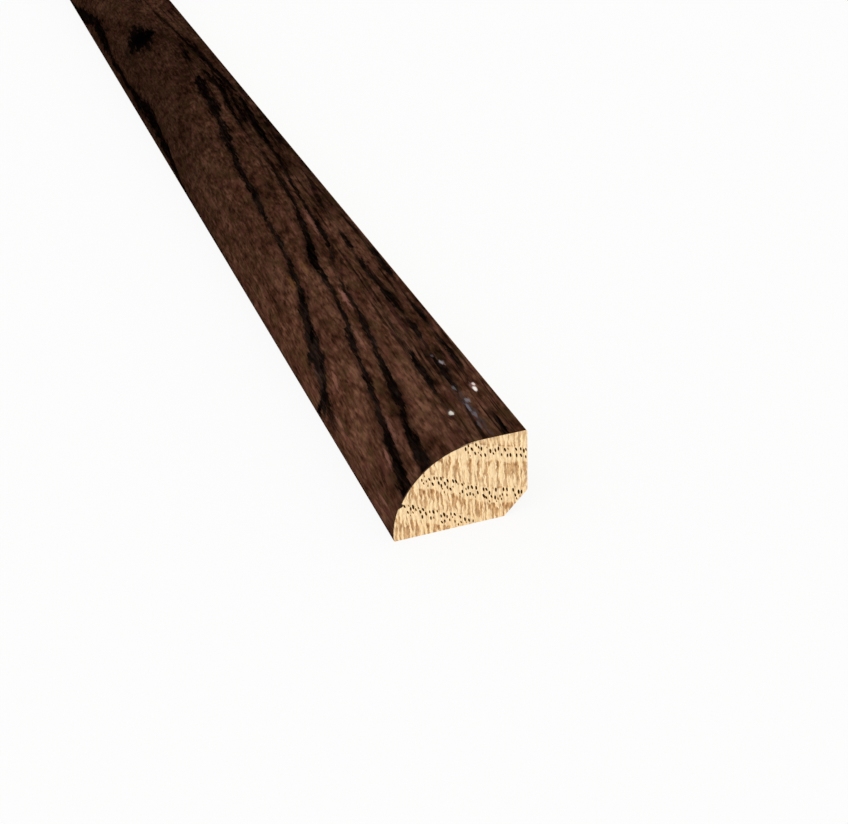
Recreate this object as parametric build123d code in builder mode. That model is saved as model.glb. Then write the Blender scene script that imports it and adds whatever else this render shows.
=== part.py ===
"""Shoe moulding: one strip of milled oak that covers the gap between a floor and a wall.

The section is a quarter round with a flat land along its top. The back stands against
the wall, the bottom lies on the floor, and the corner between them is cut away at
45 degrees, so that the strip seats in a corner that isn't quite clean or square.

Frame: X runs along the strip, Y from the toe of the round to the wall, and Z up.
The origin is on the floor, midway along the strip and midway between toe and wall.
All sizes are in millimetres.
"""

import os

from build123d import *

# Driving dimensions of the strip
length = 1981.2  # stock length, 78 in
width = 19.05  # along the floor, from toe to wall, 3/4 in
height = 12.7  # up the wall, 1/2 in

# Driving dimensions of the section
top_land = 6.35  # flat along the top, next to the wall, 1/4 in
toe_land = 0.5  # low upright at the toe, which keeps the round from a feather edge
relief_leg = 3.4  # each leg of the 45 degree relief in the inner corner
arris = 0.25  # radius that the finishing sander leaves on the milled corners

# Places across the section
toe_y = -width / 2
wall_y = width / 2

# The show face: a quarter round from the toe land up to the top land
round_across = width - top_land
round_up = height - toe_land
round_centre = (toe_y + round_across, toe_land)

with BuildPart() as shoe_moulding:
    with BuildSketch(Plane.YZ) as section:
        with BuildLine():
            EllipticalCenterArc(
                round_centre, round_across, round_up, start_angle=180, arc_size=-90
            )
            Polyline(
                (toe_y + round_across, height),
                (wall_y, height),
                (wall_y, relief_leg),
                (wall_y - relief_leg, 0),
                (toe_y, 0),
                (toe_y, toe_land),
            )
        make_face()
        # The corners on the floor and on the wall; the round's own ends are tangent
        floor_corners = section.vertices().group_by(Axis.Y)[0]
        wall_corners = section.vertices().group_by(Axis.X)[-1]
        fillet(floor_corners + wall_corners, radius=arris)
    extrude(amount=length / 2, both=True)

shoe_moulding.part.label = "shoe_moulding"

os.makedirs("parts", exist_ok=True)
export_step(shoe_moulding.part, "parts/shoe_moulding.step")
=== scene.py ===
"""Shoe moulding: one strip of milled oak with a dark stained and lacquered face, laid on a pale studio floor.

Frame, in metres: +X runs along the strip to its near, sawn end, Y goes from the toe to the wall and +Z is up.
The origin is on the floor under the middle of the strip. Sizes in the classes are millimetres.
"""
import logging
from collections.abc import Callable, Mapping, Sequence
from dataclasses import dataclass, field
from enum import Enum, IntEnum
from functools import partial
from math import pi, radians, tan
from typing import Any

import bmesh
import bpy
import numpy as np
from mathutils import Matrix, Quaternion, Vector


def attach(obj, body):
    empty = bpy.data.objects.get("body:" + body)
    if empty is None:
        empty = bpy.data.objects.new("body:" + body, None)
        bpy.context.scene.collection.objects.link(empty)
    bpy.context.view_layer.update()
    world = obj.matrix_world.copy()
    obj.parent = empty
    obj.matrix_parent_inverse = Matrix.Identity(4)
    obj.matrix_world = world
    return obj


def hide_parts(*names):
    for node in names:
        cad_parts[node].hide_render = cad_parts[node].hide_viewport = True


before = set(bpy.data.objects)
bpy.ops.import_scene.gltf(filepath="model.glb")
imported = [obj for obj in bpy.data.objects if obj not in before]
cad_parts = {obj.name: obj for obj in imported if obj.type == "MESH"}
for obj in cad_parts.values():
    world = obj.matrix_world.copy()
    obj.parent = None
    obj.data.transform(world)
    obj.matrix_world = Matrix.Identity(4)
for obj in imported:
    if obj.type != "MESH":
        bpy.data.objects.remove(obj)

log = logging.getLogger("shoe_moulding")

MM = 0.001
FACE_MAP = "unrolled"  # the long faces unrolled, in millimetres
BAKE_MAP = "OFBake"  # all faces side by side on one square
GAP = "grain_gap"  # how far a point is from the nearest growth line, signed
HALF = "grain_half"  # half that line's width
RECESS = "recess"  # how far a point is let down into the face
FACTOR, UNDER, OVER = 0, 6, 7  # the sockets of a node that mixes two colours

Adder = Callable[..., bpy.types.Node]
Socket = bpy.types.NodeSocket
Source = bpy.types.Node | Socket  # what an input is linked to
Span = tuple[float, float]
Place = tuple[float, float, float]
Ramp = tuple[tuple[float, str], ...]


class Surface(IntEnum):
    """The strip's four surfaces, each with its own finish, in the order of its material slots."""

    STAINED_FACE = 0
    LONG_GRAIN = 1
    END_GRAIN = 2
    VESSEL_WALL = 3


class Role(Enum):
    """What a lamp does in the studio."""

    KEY = "key_softbox"


def linear(code: str) -> tuple[float, float, float, float]:
    """Turns an sRGB hex colour to linear.

    Args:
        code: six hex digits, such as "c8a070".

    Returns:
        Red, green, blue and a full alpha, as Blender's colour sockets take them.
    """
    channels = [int(code[i:i + 2], 16) / 255 for i in (0, 2, 4)]
    red, green, blue = (c / 12.92 if c <= 0.04045 else ((c + 0.055) / 1.055) ** 2.4 for c in channels)
    return red, green, blue, 1.0


def add_node(
    tree: bpy.types.NodeTree,
    kind: str,
    inputs: Mapping[str | int, Any] | Sequence[Any] = (),
    stops: Ramp = (),
    course: Sequence[Span] = (),
    **settings: Any,
) -> bpy.types.Node:
    """Adds one node with its settings and links.

    Args:
        tree: the node tree it goes into.
        kind: the node's type name, without its prefix "ShaderNode".
        inputs: what the input sockets get, in their order or by name or number: a value, another node's
            output, or a node for its first output.
        stops: a colour ramp's places and hex colours.
        course: a curve's points, each from 0 to 1.
        settings: the node's own fields.

    Returns:
        The new node.
    """
    made = tree.nodes.new(f"ShaderNode{kind}")
    for name, value in settings.items():
        setattr(made, name, value)
    for key, value in inputs.items() if isinstance(inputs, Mapping) else enumerate(inputs):
        if isinstance(value, bpy.types.Node):
            value = next(output for output in value.outputs if output.enabled)
        if isinstance(value, Socket):
            tree.links.new(value, made.inputs[key])
        else:
            made.inputs[key].default_value = value
    for number, (place, code) in enumerate(stops):
        elements = made.color_ramp.elements
        stop = elements[number] if number < 2 else elements.new(place)
        stop.position = place
        stop.color = linear(code)
    for number, point in enumerate(course):
        points = made.mapping.curves[0].points
        if number < 2:
            points[number].location = point
        else:
            points.new(*point)
    if course:
        made.mapping.update()
    return made


def new_material(name: str) -> tuple[bpy.types.Material, bpy.types.NodeTree]:
    """Makes an empty node material.

    Args:
        name: the real material and how its surface was made.

    Returns:
        The material and its cleared node tree.
    """
    material = bpy.data.materials.new(name)
    material.use_nodes = True
    material.node_tree.nodes.clear()
    return material, material.node_tree


def activate(obj: bpy.types.Object) -> None:
    """Makes one object the only one selected, and the active one.

    Args:
        obj: the object.
    """
    bpy.ops.object.select_all(action="DESELECT")
    obj.select_set(True)
    bpy.context.view_layer.objects.active = obj


def select(obj: bpy.types.Object, kind: str, test: Callable[[Any], bool]) -> None:
    """Selects an edited object's vertices, edges or faces by their place or normal.

    Args:
        obj: the object in edit mode.
        kind: "VERT", "EDGE" or "FACE".
        test: says whether one of them is wanted.
    """
    bpy.ops.mesh.select_mode(type=kind)
    bpy.ops.mesh.select_all(action="DESELECT")
    mesh = bmesh.from_edit_mesh(obj.data)
    for member in {"VERT": mesh.verts, "EDGE": mesh.edges, "FACE": mesh.faces}[kind]:
        if test(member):
            member.select_set(True)
    mesh.select_flush_mode()
    bmesh.update_edit_mesh(obj.data)


def smooth_between(values: Sequence[float], places: Sequence[float], at: np.ndarray) -> np.ndarray:
    """Reads a line given at a few places, with smooth turns between them.

    Args:
        values: the line's value at each place.
        places: the places, rising.
        at: where it is read.

    Returns:
        The line's values there.
    """
    straight = np.interp(at, places, values)
    spread = 1.2  # how far to each side the turn is smoothed
    before = np.interp(at - spread, places, values)
    after = np.interp(at + spread, places, values)
    return straight / 2 + (before + after) / 4


@dataclass(frozen=True)
class GrainLine:
    """One dark growth line on the show face, as it runs along the near stretch.

    Each point is millimetres from the near end, girth from the toe's floor corner, and half the line's width.
    """

    name: str
    points: tuple[tuple[float, float, float], ...]

    def girth(self, at: np.ndarray) -> np.ndarray:
        """Gives the line's place in girth at distances along the strip."""
        return smooth_between([p[1] for p in self.points], [p[0] for p in self.points], at)

    def half_width(self, at: np.ndarray) -> np.ndarray:
        """Gives half the line's width at distances along the strip."""
        return np.interp(at, [p[0] for p in self.points], [p[2] for p in self.points])


# The lines that cross the near stretch, from the toe to the wall. None crosses another, and each runs on past
# the face's edges, with no width where it fades out.
NEAR_LINES = (
    GrainLine("toe_wave", (
        (0, -9, 0), (33, -4, 0), (60, -2, 0), (90, -0.4, 0.1), (102, 0.2, 0.35), (112, 0.4, 0.3),
        (121, 0.5, 0.15), (131, 0.6, 0.34), (137, 1.0, 0.45), (143, 2.0, 0.67), (149, 2.7, 1.01),
        (157, 3.4, 0.95), (163, 3.8, 1.01), (169, 4.2, 1.2), (175, 4.6, 1.25), (181, 4.1, 1.2),
        (186, 3.6, 1.2), (191, 3.6, 0.8), (197, 3.7, 0.45), (201, 3.1, 0.56), (206, 3.6, 0.56),
        (214, 3.5, 0.62), (220, 3.1, 0.67), (226, 3.9, 0.62), (232, 4.3, 1.12), (237, 4.6, 1.6),
        (242, 4.8, 1.6), (247, 5.5, 1.45), (252, 5.7, 1.12), (257, 4.8, 1.12), (262, 4.0, 1.26),
        (268, 3.0, 1.54), (274, 2.2, 1.26), (281, 1.7, 0.78), (288, 0.9, 0.67), (298, 0.4, 0.5),
        (312, -0.5, 0.2))),
    GrainLine("toe_to_crest", (
        (0, -7, 0), (22, -3.5, 0), (30, 0.4, 0), (31.6, 1.9, 0.1), (33, 3.6, 0.9), (36, 6.0, 1.0),
        (38.5, 6.4, 1.3), (41, 7.5, 1.2), (43.5, 7.6, 1.3), (46, 8.5, 1.1), (48, 8.5, 0.85), (50, 9.5, 0.5),
        (53, 9.7, 0.66), (55, 10.4, 0.84), (57.5, 10.9, 0.74), (60, 11.4, 0.25), (64, 11.7, 0.4),
        (67, 12.2, 0.48), (70, 12.5, 0.22), (74, 12.8, 0.21), (77, 13.0, 0.46), (80, 13.1, 0.24),
        (86, 13.4, 0.21), (90, 13.5, 0.3), (93, 13.7, 0.42), (97, 14.1, 0.5), (101, 14.3, 0.42),
        (110, 14.6, 0.45), (117, 15.2, 0.5), (121, 15.7, 0.32), (125, 15.9, 0.56), (128, 16.2, 0.92),
        (132, 16.7, 0.92), (136, 17.1, 0.46), (140, 17.2, 0.28), (144, 17.5, 0.8), (148, 18.0, 0.88),
        (152, 18.3, 0.5), (156, 18.3, 0.72), (160, 18.5, 0.92), (165, 18.8, 0.86), (168, 19.3, 0.5),
        (170, 19.6, 0.16), (174, 19.8, 0), (180, 20.0, 0.14), (185, 20.3, 0.34), (190, 20.3, 0.2),
        (195, 20.0, 0), (220, 18.9, 0), (245, 17.6, 0.1), (300, 13, 0.2))),
    GrainLine("crest_lower", (
        (0, 7.9, 0.9), (6, 9.0, 0.82), (10, 9.6, 0.6), (14, 10.4, 0.46), (19, 11.1, 0.32), (25, 12.0, 0.42),
        (30, 12.6, 0.27), (33, 13.0, 0.3), (36, 13.4, 0.52), (40, 13.9, 0.46), (42, 14.6, 0.3),
        (48, 15.1, 0.24), (54, 15.6, 0.22), (60, 15.8, 0.32), (64, 15.8, 0.5), (67, 16.3, 0.62),
        (70, 16.9, 0.4), (73, 17.4, 0.34), (76, 17.8, 0.52), (80, 18.2, 0.46), (84, 18.7, 0.34),
        (89, 19.4, 0.24), (95, 19.6, 0.23), (101, 19.8, 0.21), (108, 20.1, 0.17), (120, 20.3, 0.17),
        (130, 20.3, 0.19), (137, 20.5, 0.27), (143, 20.9, 0.36), (148, 21.3, 0.31), (153, 22.0, 0.43),
        (157, 22.3, 0.31), (163, 22.0, 0.31), (169, 21.6, 0.36), (175, 21.4, 0.12), (190, 21.1, 0),
        (210, 19.9, 0.12), (240, 18.8, 0.1), (300, 15, 0.3))),
    GrainLine("fine_inner", (
        (0, 9.8, 0), (20, 12.8, 0), (40, 15.4, 0), (60, 16.9, 0), (75, 19.2, 0), (90, 20.5, 0),
        (105, 21.1, 0), (130, 21.6, 0.12), (138, 22.1, 0.31), (145, 22.5, 0.31), (150, 23.0, 0.25),
        (156, 23.7, 0.18), (162, 23.1, 0.31), (168, 22.8, 0.18), (180, 22.3, 0), (205, 21.1, 0),
        (240, 19.6, 0), (300, 16.5, 0))),
    GrainLine("crest_upper", (
        (0, 11.8, 0.62), (5, 12.4, 0.58), (11, 13.0, 0.32), (15, 14.0, 0.36), (20, 14.4, 0.54),
        (24, 14.9, 0.34), (32, 15.8, 0.24), (38, 16.3, 0.34), (43, 16.9, 0.24), (48, 17.1, 0.25),
        (54, 17.3, 0.21), (58, 18.0, 0.13), (63, 18.8, 0.14), (67, 19.5, 0.2), (71, 20.1, 0.46),
        (76, 20.4, 0.4), (80, 20.6, 0.2), (88, 20.8, 0.22), (94, 21.1, 0.38), (99, 21.4, 0.26),
        (106, 22.1, 0.2), (114, 22.6, 0.22), (120, 22.8, 0.22), (125, 23.0, 0.38), (132, 23.3, 0.57),
        (137, 23.8, 0.48), (143, 24.1, 0.34), (149, 24.4, 0.3), (154, 24.7, 0.14), (158, 24.5, 0.34),
        (165, 24.2, 0.46), (172, 23.7, 0.46), (177, 23.4, 0.34), (181, 23.2, 0.27), (191, 22.8, 0.2),
        (197, 22.4, 0.24), (203, 22.1, 0.22), (208, 21.9, 0.26), (214, 21.4, 0.2), (220, 21.0, 0.16),
        (232, 20.6, 0.13), (240, 20.3, 0.2), (262, 18.8, 0.2), (300, 17.8, 0.3))),
    GrainLine("top_dash", (
        (0, 18.2, 0.12), (6, 18.8, 0.14), (13, 18.9, 0.16), (16, 19.0, 0.3), (20, 19.2, 0.38),
        (25, 19.4, 0.28), (28, 19.7, 0.18), (36, 19.9, 0.17), (45, 20.4, 0.1), (70, 21.6, 0), (95, 22.6, 0),
        (120, 23.9, 0), (150, 25.4, 0), (170, 25.0, 0), (190, 24.3, 0.1), (205, 24.2, 0.08),
        (214, 24.0, 0.14), (222, 23.8, 0.1), (240, 22.4, 0.1), (300, 20.6, 0.3))),
    GrainLine("top_inner", (
        (0, 20.9, 0.14), (6, 21.1, 0.12), (12, 21.6, 0.16), (16, 21.9, 0.34), (20, 22.0, 0.44),
        (25, 22.2, 0.16), (30, 22.5, 0.23), (34, 22.7, 0.3), (38, 22.8, 0.16), (42, 22.7, 0.3),
        (46, 22.6, 0.51), (49, 22.4, 0.16), (53, 22.4, 0.25), (58, 22.5, 0.3), (63, 22.6, 0.15),
        (68, 23.0, 0.34), (71, 23.0, 0.28), (75, 23.2, 0.08), (83, 23.6, 0.15), (95, 24.1, 0.15),
        (110, 24.5, 0), (150, 25.9, 0), (190, 25.4, 0), (240, 23.8, 0.1), (300, 23, 0.2))),
    GrainLine("top_outer", (
        (0, 24.0, 0.32), (4, 24.0, 0.28), (8, 24.0, 0.08), (17, 24.6, 0.12), (23, 25.0, 0.3),
        (28, 25.0, 0.26), (32, 25.1, 0.1), (36, 25.2, 0.24), (40, 25.2, 0.26), (44, 25.2, 0.14),
        (50, 25.4, 0.14), (56, 25.6, 0.32), (62, 25.8, 0.3), (66, 25.7, 0.12), (72, 25.7, 0.14),
        (85, 25.6, 0.1), (100, 25.9, 0.14), (120, 26.2, 0.15), (134, 26.5, 0.35), (146, 26.6, 0.3),
        (152, 26.6, 0.1), (160, 26.5, 0.35), (174, 26.4, 0.3), (182, 26.4, 0.1), (210, 26.0, 0.12),
        (240, 25.4, 0.1), (300, 25.4, 0.1))),
)


@dataclass(frozen=True)
class FarGrain:
    """How the growth lines go on past the near stretch: sways that they share, and smaller ones of their own.

    A sway is its wave length and how far it reaches.
    """

    start: float = 300.0  # where this begins to take over
    turn: float = 90.0  # and over what length
    sways: tuple[Span, ...] = ((910, 7.0), (430, 4.0), (205, 1.6), (90, 0.6))
    peak: Span = (260, 9)  # the pointed arches that a board's face shows
    peak_phase: float = 0.35
    peak_power: float = 1.5
    jitters: tuple[Span, ...] = ((140, 0.45), (37, 0.16), (16, 0.07))
    middle: float = 8.0  # the girth that the middle line sways about
    middle_line: int = 4
    apart: float = 3.1  # from one line to the next
    apart_varies: Span = (620, 0.9)  # as a sway
    apart_phase: float = 1.0
    swells: tuple[float, ...] = (310, 120, 47, 19)
    half: Span = (0.32, 0.16)  # half a line's width, and how much each swell adds
    bold: Span = (0.7, 1.2)  # one line is bolder than another
    below: int = 8  # spare lines under the toe
    above: int = 6  # and past the wall
    spare: Span = (-12.0, 29.0)  # the girths where they lie near the end
    spare_apart: float = 2.0

    def lines(self, at: np.ndarray, seed: int) -> tuple[np.ndarray, np.ndarray]:
        """Gives every growth line's girth and half width along the strip.

        Args:
            at: distances from the near end.
            seed: the strip's seed.

        Returns:
            Girths and half widths, one row for each line and one column for each distance, in rising girth.
        """
        rng = np.random.default_rng(seed)
        blend = np.clip((at - self.start) / self.turn, 0, 1)
        blend = blend * blend * (3 - 2 * blend)
        sway = np.zeros_like(at)
        for pitch, reach in self.sways:
            sway += reach * np.sin(2 * pi * at / pitch + rng.uniform(0, 2 * pi))
        arch = 1 - np.abs(((at / self.peak[0] + self.peak_phase) % 1) * 2 - 1)
        sway += self.peak[1] * arch ** self.peak_power
        pitch, reach = self.apart_varies
        apart = self.apart + reach * np.sin(2 * pi * at / pitch + self.apart_phase)
        girths, halves = [], []
        for number in range(-self.below, len(NEAR_LINES) + self.above):
            jitter = sum(reach * np.sin(2 * pi * at / pitch + rng.uniform(0, 2 * pi))
                         for pitch, reach in self.jitters)
            far = self.middle + (number - self.middle_line) * apart + sway + jitter
            swell = sum(np.sin(2 * pi * at / pitch + rng.uniform(0, 2 * pi)) for pitch in self.swells)
            far_half = np.clip(self.half[0] + self.half[1] * swell, 0, 1.0) * rng.uniform(*self.bold)
            near, near_half = 0 * at, 0 * at
            if number < 0:
                near = self.spare[0] + self.spare_apart * number + near
            elif number < len(NEAR_LINES):
                near, near_half = NEAR_LINES[number].girth(at), NEAR_LINES[number].half_width(at)
            else:
                near = self.spare[1] + self.spare_apart * (number - len(NEAR_LINES)) + near
            girths.append(near + (far - near) * blend)
            halves.append(near_half + (far_half - near_half) * blend)
        return np.array(girths), np.array(halves)


@dataclass(frozen=True)
class Oval:
    """An oval on the show face: its middle, along the strip and in girth, and half its length and width.

    A positive turn, in degrees, leads it away from the toe as it runs away from the near end.
    """

    along: float
    girth: float
    half_length: float
    half_width: float
    turn: float = field(default=0.0, kw_only=True)

    def draw(self, add: Adder, place: bpy.types.Node) -> Socket:
        """Adds nodes that say how far a point is from the middle.

        Args:
            add: adds a node.
            place: the point on the unrolled map.

        Returns:
            The distance, 1 being the oval's edge.
        """
        centred = add("Mapping", {
            "Vector": place, "Location": (self.along, self.girth, 0), "Rotation": (0, 0, radians(self.turn)),
            "Scale": (self.half_length, self.half_width, 1)}, vector_type="TEXTURE")
        return add("VectorMath", (centred,), operation="LENGTH").outputs["Value"]


@dataclass(frozen=True)
class Mark(Oval):
    """One mark on the show face: its colour, how strongly it shows and how ragged its edge is."""

    code: str
    strength: float = 1.0
    ragged: float = 2.2


@dataclass(frozen=True)
class Patch(Oval):
    """A broad stretch that took less or more of the stain, as a factor on the wood's lightness."""

    tone: float


PATCHES = (
    Patch(44.0, 5.0, 34.0, 7.0, 1.22),
    Patch(20.0, 5.0, 30.0, 6.0, 1.1),
    Patch(70.0, 8.0, 22.0, 3.5, 0.84),
    Patch(100.0, 14.0, 30.0, 4.0, 1.14),
    Patch(144.0, 17.0, 36.0, 6.0, 1.32),
    Patch(228.0, 23.0, 34.0, 7.0, 1.45),
    Patch(36.0, 20.4, 60.0, 2.6, 0.8),
    Patch(100.0, 24.6, 52.0, 3.2, 0.76),
    Patch(150.0, 6.5, 76.0, 6.0, 0.86),
    Patch(206.0, 8.5, 26.0, 5.0, 0.8),
    # the stain that pooled between the lines along the top
    Patch(8.0, 9.8, 11.0, 2.2, 0.62, turn=8.0),
    Patch(15.0, 13.6, 14.0, 2.0, 0.66, turn=7.0),
    Patch(68.0, 16.4, 11.0, 2.2, 0.42, turn=8.0),
    Patch(118.0, 23.2, 24.0, 2.2, 0.7, turn=0.5),
    Patch(154.0, 22.2, 21.0, 2.6, 1.05, turn=-1.0),
    Patch(46.0, 23.9, 20.0, 2.0, 0.68, turn=0.5),
)

KNOT = Mark(210.8, 13.0, 8.4, 4.3, "050302")

MARKS = (
    # lighter streaks between two lines
    Mark(48.5, 16.4, 3.6, 0.38, "8f6055", 0.55, ragged=3.0, turn=1.5),
    Mark(79.0, 19.7, 6.0, 0.42, "80564a", 0.45, ragged=3.0, turn=3.0),
    Mark(32.5, 7.9, 3.0, 0.42, "8c5e50", 0.5, ragged=3.0, turn=12.0),
    Mark(8.5, 8.2, 2.2, 0.28, "8c5e52", 0.5, ragged=3.0, turn=8.0),
    Mark(26.0, 4.3, 3.0, 0.35, "8c5e52", 0.45, ragged=3.0),
    Mark(5.5, 3.5, 2.5, 0.35, "8c5e52", 0.45, ragged=3.0),
    Mark(12.0, 10.9, 3.5, 0.34, "80564a", 0.5, ragged=3.0, turn=6.0),
    Mark(36.0, 14.6, 4.0, 0.34, "80564a", 0.5, ragged=3.0, turn=3.0),
    Mark(63.0, 10.8, 3.0, 0.45, "7c5632", 0.35, ragged=3.0),
    Mark(64.0, 14.0, 3.5, 0.45, "6e4c2c", 0.35, ragged=3.0),
    # the short branch and the patches where the line from the toe begins
    Mark(34.8, 1.6, 2.2, 1.1, "070403", ragged=1.6, turn=-68.0),
    Mark(32.2, 4.4, 2.8, 1.5, "0a0605", 0.9, turn=12.0),
    Mark(29.8, 3.8, 2.6, 1.3, "0e0806", 0.8),
    Mark(27.8, 2.9, 3.0, 1.0, "150d09", 0.7),
    # where the stain lies deepest in that line
    Mark(34.6, 5.4, 1.7, 0.45, "040202", 0.8, ragged=2.6, turn=20.0),
    Mark(38.8, 7.2, 2.0, 0.5, "040202", 0.85, ragged=2.6, turn=10.0),
    Mark(46.6, 8.7, 1.9, 0.6, "030202", 0.95, ragged=2.6, turn=22.0),
    Mark(50.2, 9.6, 2.2, 0.35, "040202", 0.85, ragged=2.6, turn=4.0),
    Mark(56.4, 10.9, 1.6, 0.5, "030202", 0.9, ragged=2.6, turn=14.0),
    # dashes beside the knot
    Mark(211.0, 13.2, 15.0, 6.4, "120b07", 0.3, ragged=3.0),
    Mark(202.0, 12.3, 2.6, 0.4, "080504", 0.8),
    Mark(202.6, 13.9, 4.4, 0.75, "080504", 0.95),
    Mark(205.0, 15.2, 3.0, 0.5, "080504", 0.8),
    Mark(219.0, 13.9, 5.0, 0.8, "080504", 0.95),
    Mark(218.0, 15.0, 2.6, 0.5, "080504", 0.8),
    Mark(220.4, 12.3, 3.2, 0.4, "080504", 0.8),
    Mark(209.5, 8.5, 5.5, 0.5, "0c0706", 0.6),
    Mark(210.6, 15.9, 3.6, 1.7, "020101"),
    Mark(211.0, 14.3, 7.6, 1.2, "020101"),
    Mark(210.8, 13.2, 5.6, 2.7, "020101", ragged=2.6),
    # pale bluish-grey streaks and white specks near the top of the near end
    Mark(7.5, 21.8, 6.5, 0.5, "3f393b", 0.5, ragged=4.5),
    Mark(3.4, 21.3, 1.4, 0.24, "575153", 0.55, ragged=2.6),
    Mark(6.4, 21.7, 0.9, 0.4, "68636a", 0.65, ragged=2.6),
    Mark(8.9, 21.6, 1.5, 0.26, "706b72", 0.7, ragged=2.6),
    Mark(10.4, 22.2, 0.8, 0.34, "7a757a", 0.75, ragged=2.4),
    Mark(14.4, 21.7, 0.8, 0.26, "686365", 0.65, ragged=2.4),
    Mark(21.9, 22.7, 0.8, 0.34, "8a8588", 0.8),
    Mark(24.4, 22.1, 0.5, 0.2, "5c5659", 0.5),
    Mark(8.3, 18.9, 0.9, 0.5, "5a4c44", 0.7, ragged=1.6),
    Mark(8.1, 18.95, 0.58, 0.36, "cdc8bd", ragged=1.4),
    Mark(13.6, 24.3, 1.5, 0.5, "8c6a62", 0.6, ragged=1.8),
    Mark(13.0, 24.25, 0.75, 0.34, "efe6de", ragged=1.4),
    Mark(14.3, 24.5, 0.55, 0.24, "e0cdc6", 0.9, ragged=1.4),
)


@dataclass(frozen=True)
class Grain:
    """One scale of a wood's pattern: the size of its patches, how fine it is and its share of the tone.

    The length is along X. On the unrolled map the width is in girth, and the height has no use.
    """

    name: str
    length: float
    width: float
    detail: float = 2.0
    roughness: float = 0.5
    share: float = 0.0
    height: float = 1.0

    def draw(self, add: Adder, place: Source, unit: float = 1.0, **moved: Any) -> bpy.types.Node:
        """Adds the pattern's noise at its real size.

        Args:
            add: adds a node.
            place: the point on a map in millimetres, or on the object.
            unit: one millimetre in the place's own unit.
            moved: where the pattern is shifted or turned.

        Returns:
            The noise.
        """
        size = (self.length * unit, self.width * unit, self.height * unit)
        spread = add("Mapping", {"Vector": place, "Scale": size, **moved}, vector_type="TEXTURE")
        return add("TexNoise", {
            "Vector": spread, "Scale": 1.0, "Detail": self.detail, "Roughness": self.roughness})


@dataclass(frozen=True)
class Tint:
    """A colour that the wood takes where one of its patterns passes from a low value to a high one."""

    grain: str
    low: float
    high: float
    code: str
    strength: float


@dataclass(frozen=True)
class GrowthRing:
    """A growth ring in a sawn end: its course across the section, and its open vessels.

    Places are (y from the toe, z from the floor), and a vessel's third number is its size, 1 being usual.
    """

    course: tuple[Span, ...]
    vessels: tuple[tuple[float, float, float], ...]


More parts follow.
